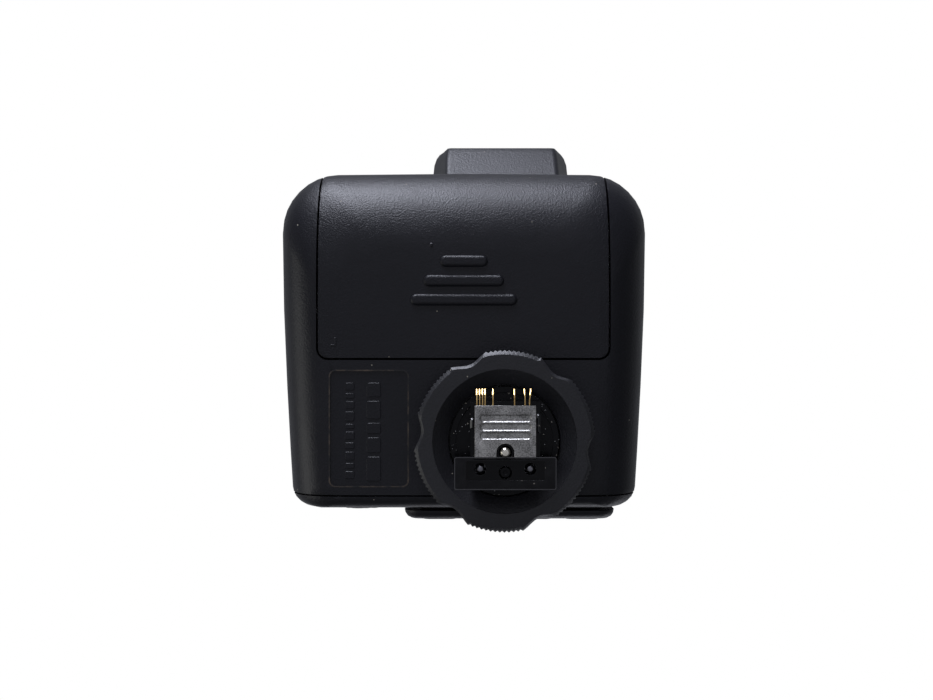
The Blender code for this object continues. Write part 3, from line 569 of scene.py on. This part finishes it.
def ground_plate():
    """The foot's metal plate with its U notch and three grooves pressed into it."""
    lo, hi = in_mm("foot_ground_plate")
    mesh = bmesh.new()
    outline = plate_outline(lo, hi)
    rim = loop_of(mesh, outline, lo.z)
    back = loop_of(mesh, outline, hi.z)
    face_edges = [mesh.edges.new(pair) for pair in zip(rim, rim[1:] + rim[:1])]
    for top in GROOVE_TOPS:
        rings = []
        for depth, pull in GROOVE_PROFILE:
            across = (GROOVE_ACROSS[0] + pull, GROOVE_ACROSS[1] - pull)
            down = (top - GROOVE_WIDTH + pull, top - pull)
            shape = rounded(across, down, GROOVE_WIDTH / 2 - pull - 0.01, 6)
            rings.append(loop_of(mesh, shape, lo.z + depth))
        face_edges += [mesh.edges.new(pair) for pair in zip(rings[0], rings[0][1:] + rings[0][:1])]
        add_wall(mesh, rings)
        mesh.faces.new(rings[-1])
    bmesh.ops.triangle_fill(mesh, use_beauty=True, use_dissolve=False, edges=face_edges)
    add_wall(mesh, [rim, back])
    mesh.faces.new(back)
    plate = piece("foot_plate_pressed", mesh, PLATE, "housing", 0.04)
    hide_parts("foot_ground_plate")


def notch_liner():
    """The black insulating sleeve between the plate's notch and the centre pin."""
    pin_lo, pin_hi = in_mm("foot_centre_pin")
    centre_y = (pin_lo.y + pin_hi.y) / 2
    mesh = bmesh.new()
    rings = []
    for radius, z in SLEEVE_SECTION:
        shape = [(radius * math.cos(turn), centre_y + radius * math.sin(turn)) for turn in full_turn(40)]
        rings.append(loop_of(mesh, shape, z))
    add_wall(mesh, rings + rings[:1])
    piece("centre_pin_sleeve", mesh, GLOSS, "housing")


def full_turn(steps):
    return [2 * math.pi * step / steps for step in range(steps)]


def side_clips():
    """The small moulded clips that hold the plate's long edges."""
    edge = in_mm("foot_ground_plate")[1].x
    for name, way, span in CLIPS:
        mesh = bmesh.new()
        across = sorted(way * (edge + reach) for reach in CLIP_REACH)
        add_pad(mesh, across, span, 0.3, "Z", *CLIP_HEIGHTS, 0.3)
        piece(name, mesh, CLIP, "housing", 0.05)


def contact_springs():
    """Eight gilt leaf contacts: narrow where they leave the plate, broad where their tips curve up."""
    for number in range(1, CONTACTS + 1):
        node = f"foot_contact_{number}"
        lo, hi = in_mm(node)
        centre = (lo.x + hi.x) / 2
        sections = []
        for part, rise, half in LEAF_PATH:
            y = lo.y + (hi.y + 0.08 - lo.y) * part
            z = lo.z + 0.12 + rise
            x = centre + LEANING.get(number, 0.0) * max(part - LEAN_START, 0.0) / (1.0 - LEAN_START)
            corners = ((-half, -1.0), (half, -1.0), (half, 1.0), (-half, 1.0))
            sections.append([(x + side, y, z + way * LEAF_HALF_THICK) for side, way in corners])
        mesh = bmesh.new()
        add_loft(mesh, sections)
        leaf = piece(f"contact_leaf_{number}", mesh, GOLD, "housing", 0.02)
        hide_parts(node)


def foot_base_marks():
    """A short index mark on the stem's face, beside the foot."""
    low = in_mm("foot_base")[0].z
    mesh = bmesh.new()
    add_pad(mesh, *INDEX_MARK, 0.1, "Z", low + 0.1, low - 0.12, 0.05)
    piece("stem_index_mark", mesh, GLOSS, "housing")


def label_marks():
    """Blank raised pads on the floor of the label's recess."""
    floor_z = in_mm("main_housing")[0].z + RECESS_DEPTH
    mesh = bmesh.new()
    for across, radius, gap, height, lengths in LABEL_COLUMNS:
        y = LABEL_START
        for length in lengths:
            add_pad(mesh, across, (y - length, y), radius, "Z", floor_z + 0.05, floor_z - height)
            y -= length + gap
    piece("label_marks", mesh, SHELL, "housing")


def edge_line(name, u, v, radius, z, width, material, slot):
    """A thin rounded bead round a rectangle that faces down, such as a moulding edge or a painted edge
    highlight.
    """
    mesh = bmesh.new()
    half = width / 2
    rings = []
    for grow, rise in ((0.0, 0.02), (0.0, -0.015), (half, -0.03), (width, -0.015), (width, 0.02)):
        shape = rounded((u[0] - grow, u[1] + grow), (v[0] - grow, v[1] + grow), radius + grow, 6)
        rings.append(loop_of(mesh, shape, z + rise))
    add_wall(mesh, rings + rings[:1])
    return piece(name, mesh, material, "housing")


def pale_edge_beads():
    """A pale patchy bead round the label's recess, and a lighter bead round the foot's bar as its painted
    edge highlight.
    """
    wall_z = in_mm("main_housing")[0].z
    edge_line("label_recess_edge", *RECESS, 1.0, wall_z, 0.26, EDGE, "shell_black")
    lo, hi = in_mm("shoe_foot")
    across, down = (lo.x + 0.26, hi.x - 0.26), (lo.y + 0.26, BAR_TOP - 0.16)
    # Painted highlight: a strip paler than the foot, standing in for light caught on the bar's edges
    edge_line("foot_bar_edge", across, down, 0.25, lo.z, 0.18, FOOT_EDGE_HIGHLIGHT, "foot_black")


def door_marks():
    """Small raised moulding marks on the battery door."""
    base = in_mm("main_housing")[0].z
    mesh = bmesh.new()
    for across, down, radius, height, soft in DOOR_MARKS:
        add_pad(mesh, across, down, radius, "Z", base + 0.05, base - height, soft)
    piece("door_mould_marks", mesh, DOOR, "battery_door")


# ---------------------------------------------------------------- rear details


def add_print(mesh, u, v, radius, face, sunk=0.03):
    """A thin printed patch on a face that looks to the rear."""
    add_pad(mesh, u, v, radius, "Y", face + sunk, face - PRINT_HEIGHT, PRINT_RIM)


def display_marks():
    """Plain bars and boxes on the display: no lettering."""
    lo, hi = in_mm("lcd_module")
    left, right, top = lo.x + 1.6, hi.x - 1.6, hi.z
    patches = []
    for row in range(ROWS):
        z = top - 6.0 - row * ROW_PITCH
        patches.append(((left, left + 2.2), (z, z + 2.2), 0.3))
        for bar in range(9 - 2 * row):
            x = left + 4.2 + bar * BAR_PITCH
            patches.append(((x, x + 1.3), (z + 0.2, z + 2.0), 0.1))
    patches.append(((left, right), (top - 3.0, top - 2.85), 0.05))
    patches.append(((right - 3.4, right - 0.4), (top - 2.4, top - 1.1), 0.2))
    for bar in range(LEVEL_BARS):
        x = left + bar * LEVEL_PITCH
        patches.append(((x, x + 0.7), (top - 2.4, top - 1.9 + bar * 0.25), 0.05))
    mesh = bmesh.new()
    for u, v, radius in patches:
        add_print(mesh, u, v, radius, lo.y, PRINT_HEIGHT)
    piece("display_marks", mesh, INK_DARK, "housing")


def sign_parts(number):
    """The three patches of a key's sign round its middle: dots, rising bars, shrinking squares or lines."""
    for step in (0, 1, 2):
        shift = step - 1.0
        size = 0.45 - 0.125 * step
        yield (
            ((shift - 0.3, shift + 0.3), (-0.3, 0.3)),
            ((shift - 0.25, shift + 0.25), (-0.7, -0.1 + 0.4 * step)),
            ((shift * 1.1 - size, shift * 1.1 + size), (-size, size)),
            ((-1.1, 1.1), (shift * 0.6 - 0.13, shift * 0.6 + 0.13)),
        )[number]


def key_marks():
    """One plain sign on each key."""
    for number, node in enumerate(KEY_NODES):
        lo, hi = in_mm(node)
        middle = (lo + hi) / 2
        mesh = bmesh.new()
        for u, v in sign_parts(number):
            add_print(mesh, [middle.x + a for a in u], [middle.z + b for b in v], 0.1, lo.y)
        piece(f"{node}_mark", mesh, INK_LIGHT, node)


def bolt_mark():
    """A plain zigzag on the test button."""
    lo, hi = in_mm("test_button")
    middle = (lo + hi) / 2
    mesh = bmesh.new()
    levels = (lo.y + 0.03, lo.y - PRINT_HEIGHT)
    add_loft(mesh, [[(middle.x + u, y, middle.z + v) for u, v in ZIGZAG] for y in levels])
    piece("test_button_mark", mesh, INK_LIGHT, "test_button")


def dial_marks():
    """A printed index line on the dial and a raised dot on the set button."""
    lo, hi = in_mm("select_dial")
    middle = (lo + hi) / 2
    mesh = bmesh.new()
    line = (middle.x - 0.15, middle.x + 0.15), (middle.z + 4.6, middle.z + 6.4)
    add_print(mesh, *line, 0.08, lo.y)
    piece("dial_index", mesh, INK_LIGHT, "select_dial")
    face = in_mm("set_button")[0].y
    mesh = bmesh.new()
    dot = (middle.x - 0.5, middle.x + 0.5), (middle.z - 0.5, middle.z + 0.5)
    add_pad(mesh, *dot, 0.49, "Y", face + 0.05, face - 0.12, 0.08)
    piece("set_button_dot", mesh, SHELL, "set_button")


# ---------------------------------------------------------------- top and side details


def shoe_springs():
    """Two bowed leaf springs under the top shoe's lips."""
    lo, hi = in_mm("hot_shoe_rails")
    for name, way in SHOE_SPRINGS:
        inner, outer = (way * side for side in SHOE_SPRING_ACROSS)
        sections = []
        for step in range(13):
            part = step / 12
            y = lo.y + 1.2 + (hi.y - lo.y - 3.4) * part
            low = hi.z - SHOE_SPRING_DROP - SHOE_SPRING_BOW * math.sin(math.pi * part)
            high = low + SHOE_SPRING_THICK
            sections.append([(inner, y, low), (outer, y, low), (outer, y, high), (inner, y, high)])
        mesh = bmesh.new()
        add_loft(mesh, sections)
        piece(name, mesh, NICKEL, "housing", 0.03)


def switch_marks():
    """A printed dot and line beside each side switch."""
    for name, node in (("power_mark", "power_switch"), ("af_mark", "af_switch")):
        lo, hi = in_mm(node)
        x = lo.x + 1.0
        y = (lo.y + hi.y) / 2 + 3.6
        mesh = bmesh.new()
        for span, radius in (((hi.z + 0.2, hi.z + 0.9), 0.34), ((lo.z + 2.2, lo.z + 2.4), 0.05)):
            add_pad(mesh, (y - 0.35, y + 0.35), span, radius, "X", x + 0.3, x - 0.04, PRINT_RIM)
        piece(name, mesh, INK_LIGHT, "housing")


# ---------------------------------------------------------------- stage


def floor():
    """A pale round table under the object, wide enough to fill what its underside reflects."""
    mesh = bmesh.new()
    bmesh.ops.create_circle(mesh, cap_ends=True, segments=96, radius=FLOOR_RADIUS)
    data = bpy.data.meshes.new("floor")
    mesh.to_mesh(data)
    mesh.free()
    made = Recipe("pale_floor", (0.42, 0.42, 0.42), 0.9)
    cloud = made.ramp(made.noise(3.0, 2.0), 0.3, 0.7, (0.41, 0.41, 0.42), (0.43, 0.43, 0.43))
    made.drive("Base Color", cloud)
    data.materials.append(made.material)
    obj = bpy.data.objects.new("floor", data)
    obj.location = (0.0, 0.0, FLOOR_Z)
    bpy.context.scene.collection.objects.link(obj)


def softbox(name, place, size, radiance, colour):
    """A rectangular softbox of the given size, brightness and colour, aimed at the object."""
    data = bpy.data.lights.new(name, "AREA")
    data.shape = "RECTANGLE"
    data.size, data.size_y = size
    data.color = colour
    data.energy = radiance * math.pi * size[0] * size[1]
    obj = bpy.data.objects.new(name, data)
    obj.location = place
    obj.rotation_mode = "QUATERNION"
    obj.rotation_quaternion = (Vector(LIT_POINT) - Vector(place)).to_track_quat("-Z", "Y")
    bpy.context.scene.collection.objects.link(obj)


def world():
    """White behind the object, and soft light from all round that is stronger from above."""
    made = bpy.data.worlds.new("studio")
    made.use_nodes = True
    nodes, links = made.node_tree.nodes, made.node_tree.links
    ambient = nodes["Background"]
    ambient.inputs["Strength"].default_value = 1.0
    direction = nodes.new("ShaderNodeTexCoord")
    height = nodes.new("ShaderNodeSeparateXYZ")
    links.new(direction.outputs["Generated"], height.inputs["Vector"])
    ramp = nodes.new("ShaderNodeValToRGB")
    low, high = ramp.color_ramp.elements
    low.position, high.position = SKY_RISE
    low.color, high.color = AROUND, ABOVE
    links.new(height.outputs["Z"], ramp.inputs["Fac"])
    links.new(ramp.outputs["Color"], ambient.inputs["Color"])
    white = nodes.new("ShaderNodeBackground")
    white.inputs["Color"].default_value = (1.0, 1.0, 1.0, 1.0)
    path = nodes.new("ShaderNodeLightPath")
    mix = nodes.new("ShaderNodeMixShader")
    links.new(path.outputs["Is Camera Ray"], mix.inputs["Fac"])
    links.new(ambient.outputs["Background"], mix.inputs[1])
    links.new(white.outputs["Background"], mix.inputs[2])
    links.new(mix.outputs["Shader"], nodes["World Output"].inputs["Surface"])
    bpy.context.scene.world = made


def camera():
    data = bpy.data.cameras.new("camera")
    data.lens = LENS_MM
    data.sensor_width = 36.0
    data.clip_start = 0.01
    obj = bpy.data.objects.new("camera", data)
    obj.location = CAMERA_PLACE
    obj.rotation_euler = (0.0, math.pi, 0.0)
    bpy.context.scene.collection.objects.link(obj)
    bpy.context.scene.camera = obj


def stage():
    floor()
    world()
    camera()
    for light in SOFTBOXES:
        softbox(*light)
    bpy.context.scene.view_settings.view_transform = "Standard"


SHELL_DARK, SHELL_LIGHT = (0.0034, 0.0035, 0.0058), (0.0052, 0.0053, 0.008)
SHELL = moulded("shell_black", SHELL_DARK, SHELL_LIGHT, 0.40, 2700.0, 0.00003)
DOOR = moulded("door_black", SHELL_DARK, SHELL_LIGHT, 0.38, 3500.0, 0.00005)
RING_DARK, RING_LIGHT = (0.0065, 0.0065, 0.0085), (0.0095, 0.0095, 0.012)
RING = moulded("ring_black", RING_DARK, RING_LIGHT, 0.44, 3200.0, 0.00003, 1.5, 0.6)
# Painted highlight: colours for the paler strip round the foot's bar
EDGE_HIGHLIGHT_DARK, EDGE_HIGHLIGHT_LIGHT = (0.016, 0.016, 0.019), (0.035, 0.034, 0.036)
FOOT_EDGE_HIGHLIGHT = moulded("foot_bar_painted_highlight", EDGE_HIGHLIGHT_DARK, EDGE_HIGHLIGHT_LIGHT, 0.3, 1800.0, 0.00002, 1.6)
GLOSS = glossy_black("foot_black")
CLIP = glossy_black("plate_clips", 1.5, 0.18)
FOOT = foot_plastic()
RUBBER = rubber()
EDGE = pale_patchy_edge()
STEEL = brushed_steel("brushed_steel", (0.36, 0.36, 0.37), (0.50, 0.50, 0.51))
PLATE = blasted_plate()
PIN_STEEL = brushed_steel("pin_steel", (0.12, 0.12, 0.13), (0.26, 0.26, 0.28))
PALE_GILT = plated("pale_gilt", (0.50, 0.46, 0.38), (0.82, 0.78, 0.68), 0.14)
GOLD = plated("gilt", (0.45, 0.28, 0.10), (0.80, 0.56, 0.24), 0.22)
NICKEL = plated("nickel", (0.40, 0.40, 0.42), (0.66, 0.66, 0.67), 0.24)
BRASS = plated("brass_wire", (0.40, 0.28, 0.12), (0.72, 0.53, 0.24), 0.3)
WINDOW = window()
LCD = lcd_glass()
RED = red_lens()
LAMP = frosted_lamp()
BOARD = board_green()
INK_LIGHT = print_ink("light_ink", (0.55, 0.55, 0.55))
INK_DARK = print_ink("dark_segments", (0.02, 0.025, 0.02))

dress_cad()
ground_plate()
notch_liner()
side_clips()
contact_springs()
foot_base_marks()
label_marks()
pale_edge_beads()
door_marks()
display_marks()
key_marks()
bolt_mark()
dial_marks()
shoe_springs()
switch_marks()
stage()
